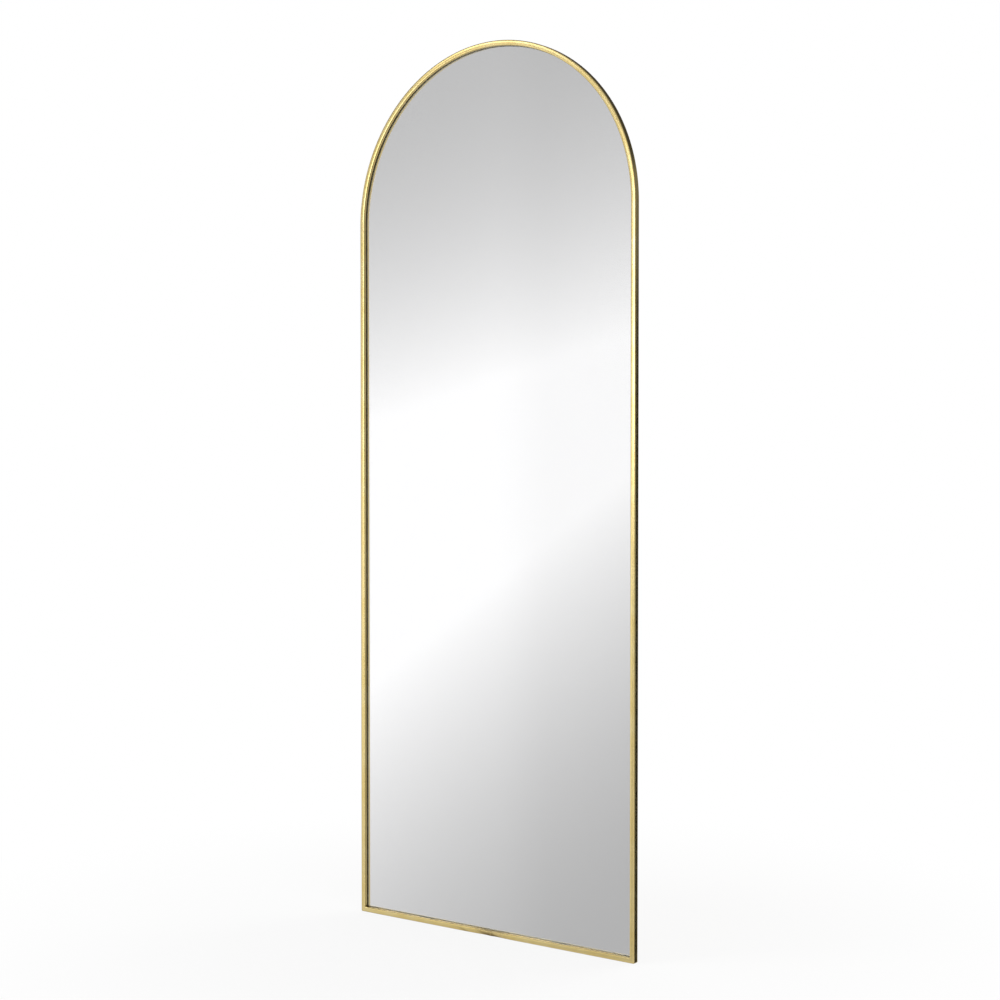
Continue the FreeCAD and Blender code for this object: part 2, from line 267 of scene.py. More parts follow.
def cells(tree, vector, scale):
    """Distance from the middle of the nearest of many small cells."""
    return add_node(tree, "TexVoronoi", {"Vector": vector, "Scale": scale}).outputs["Distance"]


def waves(tree, value, pitch):
    """Sine wave of a pitch in metres."""
    return math_node(tree, "SINE", times(tree, value, math.tau / pitch))


def smooth_mask(tree, value, start, end, low=0.0, high=1.0):
    """Goes smoothly from low to high as value goes from start to end."""
    inputs = {"Value": value, "From Min": start, "From Max": end, "To Min": low, "To Max": high}
    return add_node(tree, "MapRange", inputs, interpolation_type="SMOOTHSTEP").outputs["Result"]


def window(tree, value, start, end, blur):
    """Mask of the values from start to end, blurred outwards."""
    entered = smooth_mask(tree, value, start - blur, start)
    return times(tree, entered, smooth_mask(tree, value, end + blur, end))


def mix_value(tree, factor, first, second):
    return add_node(tree, "Mix", {0: factor, 2: first, 3: second}, data_type="FLOAT").outputs[0]


def mix_colour(tree, factor, first, second):
    return add_node(tree, "Mix", {0: factor, 6: first, 7: second}, data_type="RGBA").outputs[2]


def tinted(tree, colour, layers):
    """Lays tints over a colour; a layer is (mask, share of the tint, tint)."""
    for mask, share, tint in layers:
        colour = mix_colour(tree, times(tree, mask, share), colour, rgba(tint))
    return colour


def rgba(colour):
    return (*colour[:3], 1.0)


def new_group(name, inputs, outputs):
    """A shader node group; inputs map names to defaults, None for a vector, and outputs are names."""
    tree = bpy.data.node_groups.new(name, "ShaderNodeTree")
    for label, default in inputs.items():
        kind = "NodeSocketVector" if default is None else "NodeSocketFloat"
        socket = tree.interface.new_socket(label, in_out="INPUT", socket_type=kind)
        if default is not None:
            socket.default_value = default
    for label in outputs:
        tree.interface.new_socket(label, in_out="OUTPUT", socket_type="NodeSocketFloat")
    return tree, tree.nodes.new("NodeGroupInput").outputs, tree.nodes.new("NodeGroupOutput").inputs


def use_group(tree, name, **inputs):
    """Places a shared effect in a material and returns its outputs."""
    return add_node(tree, "Group", inputs, node_tree=bpy.data.node_groups[name]).outputs


def new_material(name):
    """A material with one Principled BSDF; returns it, its tree, the shader and object coordinates."""
    material = bpy.data.materials.new(name)
    material.use_nodes = True
    tree = material.node_tree
    position = add_node(tree, "TexCoord").outputs["Object"]
    return material, tree, tree.nodes["Principled BSDF"], position


def set_inputs(tree, shader, **values):
    """Fills the shader's inputs; underscores in names stand for spaces."""
    for name, value in values.items():
        fill(tree, shader.inputs[name.replace("_", " ")], value)


def bump(tree, height, distance, strength=1.0):
    inputs = {"Height": height, "Distance": distance, "Strength": strength}
    return add_node(tree, "Bump", inputs).outputs["Normal"]


# --- Shared effects -------------------------------------------------------
def outline_group():
    """How far a point lies in from the outer outline, along the tube and from a mitre."""
    tree, given, result = new_group("Outline Place", {"Position": None}, ("Inset", "Along", "Mitre"))
    place = split(tree, given["Position"])
    rise = math_node(tree, "SUBTRACT", place["Z"], SPRING_HEIGHT)
    on_arch = math_node(tree, "GREATER_THAN", rise, 0.0)
    squares = math_node(tree, "MULTIPLY_ADD", place["X"], place["X"], times(tree, rise, rise))
    arch_inset = math_node(tree, "SUBTRACT", HALF_WIDTH, math_node(tree, "SQRT", squares))
    side_inset = math_node(tree, "SUBTRACT", HALF_WIDTH, math_node(tree, "ABSOLUTE", place["X"]))
    low_inset = math_node(tree, "MINIMUM", side_inset, place["Z"])
    tree.links.new(mix_value(tree, on_arch, low_inset, arch_inset), result["Inset"])
    along_arch = times(tree, math_node(tree, "ARCTAN2", place["X"], rise), HALF_WIDTH)
    on_rail = math_node(tree, "LESS_THAN", place["Z"], side_inset)
    along_low = mix_value(tree, on_rail, place["Z"], place["X"])
    tree.links.new(mix_value(tree, on_arch, along_low, along_arch), result["Along"])
    to_mitre = math_node(tree, "ABSOLUTE", math_node(tree, "SUBTRACT", side_inset, place["Z"]))
    tree.links.new(to_mitre, result["Mitre"])


def polish_group():
    """Fine lines left by polishing along a piece; the vector's Z runs along the lines."""
    tree, given, result = new_group(
        "Polishing Lines", {"Vector": None, "Pitch": 0.0004, "Stretch": 60.0}, ("Lines", "Cloud")
    )
    place = split(tree, given["Vector"])
    per_pitch = math_node(tree, "DIVIDE", 1.0, given["Pitch"])
    along = math_node(tree, "DIVIDE", place["Z"], given["Stretch"])
    squeezed = add_node(tree, "CombineXYZ", {0: place["X"], 1: place["Y"], 2: along}).outputs[0]
    scaled = add_node(tree, "VectorMath", {0: squeezed, "Scale": per_pitch}, operation="SCALE")
    tree.links.new(noise(tree, scaled.outputs[0], 1.0, 3.0), result["Lines"])
    tree.links.new(noise(tree, given["Vector"], 28.0, 4.0), result["Cloud"])


def dust_group():
    """Small specks and soft blotches of dust and handling, from 0 clean to 1."""
    tree, given, result = new_group(
        "Dust", {"Vector": None, "Scale": 300.0, "Amount": 0.5}, ("Specks", "Blotches")
    )
    specks = smooth_mask(tree, noise(tree, given["Vector"], given["Scale"]), 0.62, 0.78)
    tree.links.new(times(tree, specks, given["Amount"]), result["Specks"])
    blotches = smooth_mask(tree, noise(tree, given["Vector"], 9.0, 5.0), 0.45, 0.7)
    tree.links.new(times(tree, blotches, given["Amount"]), result["Blotches"])


# --- Materials ------------------------------------------------------------
def brass_material(look):
    """Satin brass plating, polished along the tube, with the dressed weld's dull patch."""
    material, tree, shader, position = new_material("satin_brass")
    outline = use_group(tree, "Outline Place", Position=position)
    place = split(tree, position)
    unrolled = add_node(tree, "CombineXYZ", {0: outline["Inset"], 1: place["Y"], 2: outline["Along"]})
    polish = use_group(tree, "Polishing Lines", Vector=unrolled.outputs[0], Pitch=0.35 * MM)
    dust = use_group(tree, "Dust", Vector=position, Scale=900.0, Amount=0.35)

    from_middle = math_node(tree, "ABSOLUTE", place["X"])
    near_floor = smooth_mask(tree, place["Z"], 1.5 * TUBE_FACE, TUBE_FACE)
    patch = times(tree, smooth_mask(tree, from_middle, 55 * MM, 12 * MM), near_floor)
    seam = times(tree, smooth_mask(tree, from_middle, 14 * MM, 1 * MM), near_floor)
    at_mitre = smooth_mask(tree, outline["Mitre"], 0.25 * MM, 0.05 * MM)
    mitre = times(tree, at_mitre, smooth_mask(tree, place["Z"], 1.2 * TUBE_FACE, TUBE_FACE))

    tone = smooth_mask(tree, polish["Cloud"], 0.3, 0.7)
    colour = tinted(tree, mix_colour(tree, tone, rgba(look.brass_deep), rgba(look.brass)), (
        (patch, 0.35, look.weld_tint),
        (seam, 0.3, look.weld_tint),
        (grinding_streak(tree, place), 0.9, look.weld_streak),
        (mitre, 0.5, look.weld_tint),
        (dust["Blotches"], 0.15, look.brass_deep),
    ))
    satin = look.brass_roughness
    rough = smooth_mask(tree, polish["Lines"], 0.3, 0.7, satin - 0.03, satin + 0.05)
    rough = math_node(tree, "MULTIPLY_ADD", patch, 0.12, rough)
    rough = math_node(tree, "MULTIPLY_ADD", dust["Specks"], 0.15, rough)
    normal = bump(tree, polish["Lines"], 0.002 * MM, 0.4)
    set_inputs(tree, shader, Base_Color=colour, Metallic=1.0, Roughness=rough, Normal=normal)
    return material


def grinding_streak(tree, place):
    """Brown streaks that the grinding left, slanting down across the rail by the weld."""
    slant = math_node(tree, "MULTIPLY_ADD", place["Z"], 3.6, place["X"])
    streak = window(tree, slant, 0.0, 16 * MM, 20 * MM)
    faint_streak = times(tree, window(tree, slant, -56 * MM, -52 * MM, 8 * MM), 0.45)
    low = smooth_mask(tree, place["Z"], 0.9 * TUBE_FACE, 0.2 * TUBE_FACE)
    return times(tree, math_node(tree, "MAXIMUM", streak, faint_streak), low)


def weld_material(look):
    """Ground weld bead, heat-tinted under the plating."""
    material, tree, shader, position = new_material("ground_weld")
    ripples = noise(tree, position, 1800.0, 3.0)
    tone = smooth_mask(tree, smooth_mask(tree, ripples, 0.35, 0.65), 0.0, 1.0, 0.45, 0.85)
    colour = mix_colour(tree, tone, rgba(look.weld_tint), rgba(look.brass_deep))
    rough = smooth_mask(tree, ripples, 0.3, 0.7, 0.24, 0.38)
    normal = bump(tree, ripples, 0.03 * MM)
    set_inputs(tree, shader, Base_Color=colour, Metallic=1.0, Roughness=rough, Normal=normal)
    return material


def zinc_material(look):
    """Bright zinc plating with its faint blue bloom."""
    material, tree, shader, position = new_material("bright_zinc")
    polish = use_group(tree, "Polishing Lines", Vector=position, Pitch=0.25 * MM, Stretch=12.0)
    dust = use_group(tree, "Dust", Vector=position, Scale=1200.0, Amount=0.5)
    tone = smooth_mask(tree, polish["Cloud"], 0.35, 0.65)
    colour = mix_colour(tree, tone, rgba(look.zinc), ZINC_BLOOM)
    rough = smooth_mask(tree, polish["Lines"], 0.3, 0.7, 0.22, 0.36)
    rough = math_node(tree, "MULTIPLY_ADD", dust["Specks"], 0.2, rough)
    normal = bump(tree, polish["Lines"], 0.006 * MM)
    set_inputs(tree, shader, Base_Color=colour, Metallic=1.0, Roughness=rough, Normal=normal)
    return material


def glass_material(look):
    """Clear float glass; its ground edge is matt and greener."""
    material, tree, shader, position = new_material("clear_glass")
    outline = use_group(tree, "Outline Place", Position=position)
    edge = smooth_mask(tree, outline["Inset"], PANEL_INSET + 0.5 * MM, PANEL_INSET + 0.3 * MM)
    colour = mix_colour(tree, edge, WHITE, rgba(look.glass_edge))
    rough = times(tree, edge, 0.35)
    set_inputs(
        tree, shader, Base_Color=colour, Roughness=rough, IOR=1.52, Transmission_Weight=1.0, Metallic=0.0
    )
    return material


def silver_material(look):
    """Mirror silver, a little dull along the very edge of the panel."""
    material, tree, shader, position = new_material("mirror_silver")
    outline = use_group(tree, "Outline Place", Position=position)
    wobble = noise(tree, position, 160.0, 4.0)
    reach = math_node(tree, "MULTIPLY_ADD", wobble, 0.5 * MM, PANEL_INSET)
    past_edge = math_node(tree, "SUBTRACT", outline["Inset"], reach)
    aged = smooth_mask(tree, past_edge, 0.3 * MM, 0.0)
    colour = mix_colour(tree, aged, rgba(look.silver), AGED_SILVER)
    set_inputs(tree, shader, Base_Color=colour, Metallic=1.0, Roughness=times(tree, aged, 0.3))
    return material


def sealant_material(look):
    """Dark sealant; along the bottom rail it takes the brass's colour, shine and metal as painted light,
    falling in from above.
    """
    material, tree, shader, position = new_material("dark_sealant")
    place = split(tree, position)
    skin = noise(tree, position, 700.0, 3.0)
    on_rail = smooth_mask(tree, place["Z"], 1.2 * PANEL_INSET, PANEL_INSET)
    from_corner = math_node(tree, "SUBTRACT", HALF_WIDTH, math_node(tree, "ABSOLUTE", place["X"]))
    # Painted light: along the bottom rail the sealant is tinted brass, made metallic and smoother, to
    # stand in for light from above.
    painted_light_from_above = times(tree, on_rail, smooth_mask(tree, from_corner, 1.2 * PANEL_INSET, 50 * MM))
    colour = mix_colour(tree, skin, rgba(look.sealant), THIN_SEALANT)
    colour = tinted(tree, colour, ((painted_light_from_above, 0.8, look.brass),))
    rough = smooth_mask(tree, skin, 0.3, 0.7, 0.45, 0.62)
    rough = math_node(tree, "MULTIPLY_ADD", painted_light_from_above, -0.2, rough)
    metal = times(tree, painted_light_from_above, 0.85)
    normal = bump(tree, skin, 0.05 * MM)
    set_inputs(tree, shader, Base_Color=colour, Metallic=metal, Roughness=rough, Normal=normal)
    return material


def hardboard_material(look):
    """Brown hardboard, screen side out: pressed mesh pattern, fibres and soft stains."""
    material, tree, shader, position = new_material("hardboard")
    place = split(tree, position)
    screen_pitch = 1.6 * MM
    screen = times(tree, waves(tree, place["X"], screen_pitch), waves(tree, place["Z"], screen_pitch))
    fibres = noise(tree, position, 420.0, 6.0, 1.2)
    flecks = cells(tree, position, 260.0)
    stains = noise(tree, position, 5.0, 5.0)
    tone = smooth_mask(tree, fibres, 0.35, 0.65)
    colour = tinted(tree, mix_colour(tree, tone, rgba(look.board_dark), rgba(look.board)), (
        (smooth_mask(tree, flecks, 0.12, 0.05), 0.5, look.board_fleck),
        (smooth_mask(tree, stains, 0.4, 0.7), 0.3, look.board_dark),
        (smooth_mask(tree, screen, -0.2, 0.9), 0.22, look.board_dark),
    ))
    relief = math_node(tree, "MULTIPLY_ADD", screen, 0.5, fibres)
    set_inputs(tree, shader, Base_Color=colour, Roughness=0.72, Normal=bump(tree, relief, 0.10 * MM))
    return material


def rubber_material(look):
    """Moulded rubber with dust in its grain."""
    material, tree, shader, position = new_material("moulded_rubber")
    dust = use_group(tree, "Dust", Vector=position, Scale=1500.0, Amount=0.8)
    colour = mix_colour(tree, dust["Specks"], rgba(look.rubber), DUSTY_RUBBER)
    rough = smooth_mask(tree, dust["Blotches"], 0.0, 0.8, 0.5, 0.68)
    grain = noise(tree, position, 2600.0)
    set_inputs(tree, shader, Base_Color=colour, Roughness=rough, Normal=bump(tree, grain, 0.02 * MM))
    return material


def foam_material():
    """Bonding tape with its fine foam cells."""
    material, tree, shader, position = new_material("foam_tape")
    foam = cells(tree, position, 2400.0)
    colour = mix_colour(tree, foam, *FOAM_TONES)
    set_inputs(tree, shader, Base_Color=colour, Roughness=0.85, Normal=bump(tree, foam, 0.05 * MM))
    return material


def plastic_material():
    """Hard dark plastic of the setting blocks."""
    material, tree, shader, position = new_material("shim_plastic")
    grain = noise(tree, position, 900.0)
    colour = mix_colour(tree, grain, *PLASTIC_TONES)
    normal = bump(tree, grain, 0.01 * MM)
    set_inputs(tree, shader, Base_Color=colour, Roughness=0.5, Normal=normal)
    return material


def film_material():
    """Safety film with its threads."""
    material, tree, shader, position = new_material("safety_film")
    threads = smooth_mask(tree, waves(tree, split(tree, position)["Z"], 1.2 * MM), -1.0, 1.0)
    set_inputs(tree, shader, Base_Color=mix_colour(tree, threads, *FILM_TONES), Roughness=0.5)
    return material


# --- Properties a user would change ---------------------------------------
def colour_property(name, description, default):
    return bpy.props.FloatVectorProperty(
        name=name, description=description, subtype="COLOR", size=3, min=0.0, max=1.0, default=default
    )


def length_property(name, description, default):
    return bpy.props.FloatProperty(
        name=name, description=description, default=default, unit="LENGTH", precision=5
    )


def count_property(name, description, default, lowest, highest):
    return bpy.props.IntProperty(
        name=name, description=description, default=default, min=lowest, max=highest
    )


class MirrorFinish(bpy.types.PropertyGroup):
    """Colours of the mirror's finishes"""

    brass: colour_property("Brass", "Light tone of the brass plating", (0.93, 0.755, 0.36))
    brass_deep: colour_property("Deep brass", "Darker tone of the plating", (0.89, 0.69, 0.28))
    weld_tint: colour_property("Weld tint", "Heat tint of the dressed weld", (0.42, 0.31, 0.16))
    weld_streak: colour_property("Weld streak", "Brown streak beside the weld", (0.20, 0.135, 0.05))
    brass_roughness: bpy.props.FloatProperty(
        name="Brass roughness", description="How satin the plating is", default=0.16, min=0.05, max=0.8
    )
    silver: colour_property("Silver", "Mirror silver", (0.96, 0.96, 0.965))
    glass_edge: colour_property("Glass edge", "Tint of the ground glass edge", (0.75, 0.80, 0.66))
    sealant: colour_property("Sealant", "Edge sealant", (0.14, 0.088, 0.022))
    board: colour_property("Board", "Light tone of the hardboard", (0.40, 0.25, 0.14))
    board_dark: colour_property("Dark board", "Dark tone of the hardboard", (0.24, 0.14, 0.075))
    board_fleck: colour_property("Board fleck", "Pale flecks in the hardboard", (0.56, 0.40, 0.25))
    zinc: colour_property("Zinc", "Zinc plating of the hangers", (0.72, 0.73, 0.74))
    rubber: colour_property("Rubber", "Wall bumpers", (0.028, 0.028, 0.03))


class MirrorShape(bpy.types.PropertyGroup):
    """Sizes of the finer forms"""

    tube_corner: length_property("Tube corner", "Rounding of the tube's outer edges", 1.5 * MM)
    fold_radius: length_property("Fold radius", "Outer bend at the bottom corners", 2 * MM)
    face_crown: length_property("Face crown", "How far the tube's face bows forward", 0.10 * MM)
    arch_bow: length_property("Arch bow", "How much further it bows along the rolled arch", 0.06 * MM)
    weld_dish: length_property("Weld dish", "Depth ground off beside the butt weld", 0.08 * MM)
    weld_dent: length_property("Weld dent", "Depth ground off the rail's lower edges there", 0.22 * MM)
    arch_steps: count_property("Arch steps", "Faces along a quarter of the arch", 64, 8, 200)
    glass_bite: length_property("Glass bite", "Depth the glass's edge sits in the sealant", 0.03 * MM)
    panel_clearance: length_property("Panel clearance", "From silver and board to the sealant", 0.03 * MM)
    glass_arris: length_property("Glass arris", "Ground off the glass's edges", 0.4 * MM)
    silver_gap: length_property("Silver gap", "From the glass to the silver sheet", 0.04 * MM)
    board_edge: length_property("Board edge", "Rounding of the board's sawn edge", 0.3 * MM)
    plate_edge: length_property("Plate edge", "Rounding of sheared plate edges", 0.2 * MM)
    tab_clip: length_property("Tab clip", "Corners clipped off the tabs", 3 * MM)
    plate_clip: length_property("Plate clip", "Corners clipped off the hanger plates", 5 * MM)
    side_tabs: count_property("Side tabs", "Tabs up each straight side", 4, 2, 12)
    strap_sheet: length_property("Strap sheet", "Sheet the hanger straps are folded from", 0.8 * MM)
    wire_radius: length_property("Wire radius", "Radius of the hanger rings' wire", 1.2 * MM)
    ring_corner: length_property("Ring corner", "Bend at the rings' shoulders", 3 * MM)
    rivet_radius: length_property("Rivet head", "Radius of the rivets' heads", 3.2 * MM)
    rivet_dome: length_property("Rivet dome", "Height of the rivets' heads", 1.1 * MM)
    bumper_edge: length_property("Bumper edge", "Rounding of the wall bumpers' ends", 1.2 * MM)
    bumper_dimple: length_property("Bumper dimple", "Depth of the dimple in their ends", 0.25 * MM)


class StudioSettings(bpy.types.PropertyGroup):
    """Camera and light"""

    camera_place: bpy.props.FloatVectorProperty(
        name="Camera", description="Where the camera stands", subtype="XYZ", unit="LENGTH",
        default=(2.11823, -2.82121, 0.92804),
    )
    camera_azimuth: bpy.props.FloatProperty(
        name="Azimuth", description="Camera's turn about the vertical", subtype="ANGLE",
        default=math.radians(36.684),
    )
    camera_pitch: bpy.props.FloatProperty(
        name="Pitch", description="Camera's tilt below the horizon", subtype="ANGLE",
        default=math.radians(1.533),
    )
    lens: bpy.props.FloatProperty(name="Lens", description="Focal length", default=66.762, unit="CAMERA")
    fill: bpy.props.FloatProperty(
        name="Fill light", description="Even light on matt surfaces", default=0.55, min=0.0, max=2.0
    )
    key: bpy.props.FloatProperty(name="Key light", description="Main lamp", default=60.0, unit="POWER")


# --- Pieces ---------------------------------------------------------------
class PiecesOperator(bpy.types.Operator):
    """Common ground of the operators that build pieces"""

    bl_options = {"REGISTER", "UNDO"}


class FLOORMIRROR_OT_effects(PiecesOperator):
    """Make the shader groups that several finishes share"""

    bl_idname = "floor_mirror.effects"
    bl_label = "Shared Effects"

    def execute(self, context):
        outline_group()
        polish_group()
        dust_group()
        return {"FINISHED"}


class FLOORMIRROR_OT_frame(PiecesOperator):
    """Roll, fold and weld the brass tube frame"""

    bl_idname = "floor_mirror.frame"
    bl_label = "Brass Frame"

    def execute(self, context):
        shape = context.scene.mirror_shape
        deselect_all()
        section_x = -HALF_WIDTH + TUBE_FACE / 2
        bpy.ops.mesh.primitive_plane_add(size=1, location=(section_x, TUBE_MIDDLE, SPRING_HEIGHT))
        tube = context.object
        edit(tube)
        bpy.ops.transform.resize(value=(TUBE_FACE, TUBE_DEPTH, 1))
        bpy.ops.mesh.bevel(offset=shape.tube_corner, segments=6, affect="VERTICES")
        bpy.ops.mesh.delete(type="ONLY_FACE")
        self.crown_face(shape, section_x)
        self.roll_arch(shape)
        self.bow_arch_face(shape)
        self.fold_corner(shape)
        self.dish_weld(shape)
        tidy_mesh()
        leave_edit()
        apply_modifier(tube, "MIRROR", merge_threshold=NEAR)
        edit(tube)
        tidy_mesh()
        leave_edit()
        look = context.scene.mirror_finish
        finish_piece(tube, "brass_frame", brass_material(look), replaced=["frame_tube"])
        set_material(NODES["butt_weld"], weld_material(look))
        return {"FINISHED"}

    def crown_face(self, shape, middle_x):
        """Bows the section's front, as the mill rolls it."""
        half_flat = TUBE_FACE / 2 - shape.tube_corner
        select_vertices(lambda p: p.y < TUBE_FRONT + shape.tube_corner + NEAR)
        shift((0, shape.face_crown, 0))
        edge = TUBE_FRONT + shape.face_crown + NEAR
        select_vertices(lambda p: p.y < edge)
        bpy.ops.mesh.subdivide(number_cuts=FACE_CUTS)
        for line in range(1, FACE_CUTS + 1):
            place = 2 * line / (FACE_CUTS + 1) - 1
            x = middle_x + place * half_flat
            select_vertices(lambda p: p.y < edge and abs(p.x - x) < 5 * NEAR)
            shift((0, -shape.face_crown * (1 - place**2), 0))

    def bow_arch_face(self, shape):
        """Draws the face's edges back along the arch, where rolling bows it more."""
        middle = HALF_WIDTH - TUBE_FACE / 2
        half_flat = TUBE_FACE / 2 - shape.tube_corner
        front = TUBE_FRONT + shape.face_crown + shape.tube_corner + NEAR
        last = FACE_CUTS + 1

        def line_at(p):
            across = (math.hypot(p.x, p.z - SPRING_HEIGHT) - middle) / half_flat
            return min(max(round((across + 1) / 2 * last), 0), last)

        for line in range(last + 1):
            select_vertices(lambda p: p.z > SPRING_HEIGHT + NEAR and p.y < front and line_at(p) == line)
            shift((0, shape.arch_bow * (2 * line / last - 1) ** 2, 0))

    def roll_arch(self, shape):
        """From the left springing up to the crown."""
        select_whole()
        bpy.ops.mesh.spin(
            steps=shape.arch_steps, angle=-math.pi / 2, center=(0, 0, SPRING_HEIGHT), axis=(0, 1, 0)
        )

    def fold_corner(self, shape):
        """Down the left side, round the mitred corner and along to the weld."""
        spare = TUBE_FACE
        select_vertices(lambda p: abs(p.z - SPRING_HEIGHT) < NEAR)
        extrude((0, 0, -SPRING_HEIGHT - spare))
        select_vertices(lambda p: p.z < SPRING_HEIGHT + NEAR)
        bpy.ops.mesh.bisect(plane_co=(-HALF_WIDTH, 0, 0), plane_no=(1, 0, -1), clear_outer=True)
        select_vertices(lambda p: p.z < RAIL_REACH and abs(p.x + HALF_WIDTH - p.z) < NEAR)
        extrude((HALF_WIDTH + spare, 0, 0))
        select_vertices(lambda p: p.z < RAIL_REACH)
        bpy.ops.mesh.bisect(plane_co=(-WELD_HALF_GAP, 0, 0), plane_no=(1, 0, 0), clear_outer=True)
        corner = shape.tube_corner + NEAR
        select_vertices(lambda p: p.z < corner and abs(p.x + HALF_WIDTH - p.z) < NEAR)
        bpy.ops.mesh.bevel(offset=shape.fold_radius, segments=6, affect="EDGES")
        select_vertices(lambda p: p.z < RAIL_REACH and abs(p.x + WELD_HALF_GAP) < NEAR)
        bpy.ops.mesh.edge_face_add()

    def dish_weld(self, shape):
        """Grinds the rail a little hollow towards the weld."""
        for distance, dish, dent in WELD_GRINDING:
            select_vertices(lambda p: p.z < RAIL_REACH)
            bpy.ops.mesh.bisect(plane_co=(-distance, 0, 0), plane_no=(1, 0, 0))
            self.sink_loop(-distance, dish * shape.weld_dish, dent * shape.weld_dent)
        self.sink_loop(-WELD_HALF_GAP, shape.weld_dish, WELD_END_DENT * shape.weld_dent)

    def sink_loop(self, x, depth, dent):
        """Draws a loop of the rail inwards, and its two lower corners further."""
        corner_height = 1.6 * MM
        corner_depth = 1.9 * MM
        slope = 0.7
        for side in (-1, 1):
            select_vertices(
                lambda p: abs(p.x - x) < 2 * NEAR and p.z < corner_height
                and side * (p.y - TUBE_MIDDLE) > TUBE_DEPTH / 2 - corner_depth
            )
            shift((0, -side * dent * slope, dent * slope))
        select_vertices(lambda p: p.z < RAIL_REACH and abs(p.x - x) < 2 * NEAR)
        bpy.ops.transform.resize(
            value=(1, 1 - 2 * depth / TUBE_DEPTH, 1 - 2 * depth / TUBE_FACE),
            center_override=(x, TUBE_MIDDLE, TUBE_FACE / 2),
        )


def arched_sheet(front, back, clearance):
    """Sheet with the mirror panel's outline, drawn in by a clearance."""
    deselect_all()
    bpy.ops.mesh.primitive_circle_add(
        vertices=256, radius=GLASS_HIGH.x - clearance, fill_type="NGON",
        location=(0, front, SPRING_HEIGHT), rotation=(math.pi / 2, 0, 0),
    )
    sheet = bpy.context.object
    edit(sheet)
    select_whole()
    bpy.ops.mesh.bisect(plane_co=(0, 0, SPRING_HEIGHT), plane_no=(0, 0, -1), clear_outer=True)
    select_vertices(lambda p: p.z < SPRING_HEIGHT + NEAR)
    extrude((0, 0, PANEL_INSET + clearance - SPRING_HEIGHT))
    select_whole()
    extrude((0, back - front, 0))
    tidy_mesh()
    leave_edit()
    return sheet


class FLOORMIRROR_OT_panel(PiecesOperator):
    """Silver the glass and finish the panel behind it"""

    bl_idname = "floor_mirror.panel"
    bl_label = "Mirror Panel"

    def execute(self, context):
        look = context.scene.mirror_finish
        shape = context.scene.mirror_shape
        glass = arched_sheet(GLASS_LOW.y, GLASS_HIGH.y, -shape.glass_bite)
        edit(glass)
        for face in (GLASS_LOW.y, GLASS_HIGH.y):
            select_vertices(lambda p: abs(p.y - face) < NEAR)
            bpy.ops.mesh.bevel(offset=shape.glass_arris, segments=1, affect="EDGES")
        tidy_mesh()
        leave_edit()
        finish_piece(glass, "glass_pane", glass_material(look), replaced=["mirror_glass"])
        silver = arched_sheet(GLASS_HIGH.y + shape.silver_gap, SILVER_BACK, shape.panel_clearance)
        finish_piece(
            silver, "silver_sheet", silver_material(look), replaced=["silver_coating"]
        )
        low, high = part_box("backing_board")
        board = arched_sheet(low.y, high.y, shape.panel_clearance)
        edit(board)
        select_vertices(lambda p: p.y > high.y - NEAR)
        bpy.ops.mesh.bevel(offset=shape.board_edge, segments=2, affect="EDGES")
        tidy_mesh()
        leave_edit()
        finish_piece(
            board, "hardboard_back", hardboard_material(look), replaced=["backing_board"],
            angle=20,
        )
        finish_piece(
            self.sealant_bead(), "sealant_bead", sealant_material(look),
            replaced=["edge_sealant"],
        )
        set_material(NODES["safety_film"], film_material())
        set_material(NODES["setting_blocks"], plastic_material())
        set_material(NODES["bonding_pads"], foam_material())
        return {"FINISHED"}

    def sealant_bead(self):
        """Bead that fills the gap between the tube and the panel's edge."""
        gap = PANEL_INSET - TUBE_FACE
        bead = arched_sheet(SEALANT_LOW.y, SEALANT_HIGH.y, -gap)
        edit(bead)
        for face in (SEALANT_LOW.y, SEALANT_HIGH.y):
            select_vertices(lambda p: abs(p.y - face) < NEAR)
            bpy.ops.mesh.inset(thickness=gap)
            bpy.ops.mesh.delete(type="FACE")
        select_vertices(lambda p: inside_outline(p, PANEL_INSET - 0.1 * gap))
        bpy.ops.mesh.bridge_edge_loops()
        tidy_mesh()
        leave_edit()
        return bead


def inside_outline(place, inset):
    """True if a place lies further in from the mirror's outline than the inset."""
    rise = max(place.z - SPRING_HEIGHT, 0.0)
    return HALF_WIDTH - math.hypot(place.x, rise) > inset and place.z > inset


def outline_place(x, z, angle):
    """Matrix that puts a piece drawn from the origin along +X onto the outline, turned about Y."""
    return Matrix.Translation((x, 0, z)) @ Matrix.Rotation(angle, 4, "Y")


# Where each straight side of the outline is, and the turn of a piece on it.
SIDES = {"left": (-HALF_WIDTH, 0.0), "right": (HALF_WIDTH, math.pi)}


def plate_place(side):
    """Where the hanger plate of a side stands."""
    low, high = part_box("hanger_plate_left")
    x, angle = SIDES[side]
    return outline_place(x, (low.z + high.z) / 2, angle)


def tab_places(side_tabs):
    """Where each tab stands on the outline, by CAD node."""
    low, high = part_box("tabs_left")
    lowest = low.z + TAB_HALF_WIDTH
    rise = high.z - TAB_HALF_WIDTH - lowest
    heights = [lowest + rise * index / (side_tabs - 1) for index in range(side_tabs)]
    places = {
        "tabs_" + side: [outline_place(x, height, angle) for height in heights]
        for side, (x, angle) in SIDES.items()
    }
    bottom_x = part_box("tabs_bottom")[1].x - TAB_HALF_WIDTH
    places["tabs_bottom"] = [outline_place(side * bottom_x, 0, -math.pi / 2) for side in (-1, 1)]
    places["tabs_arch"] = []
    for angle in map(math.radians, ARCH_TAB_ANGLES):
        x = -HALF_WIDTH * math.cos(angle)
        z = SPRING_HEIGHT + HALF_WIDTH * math.sin(angle)
        places["tabs_arch"].append(outline_place(x, z, angle))
    return places


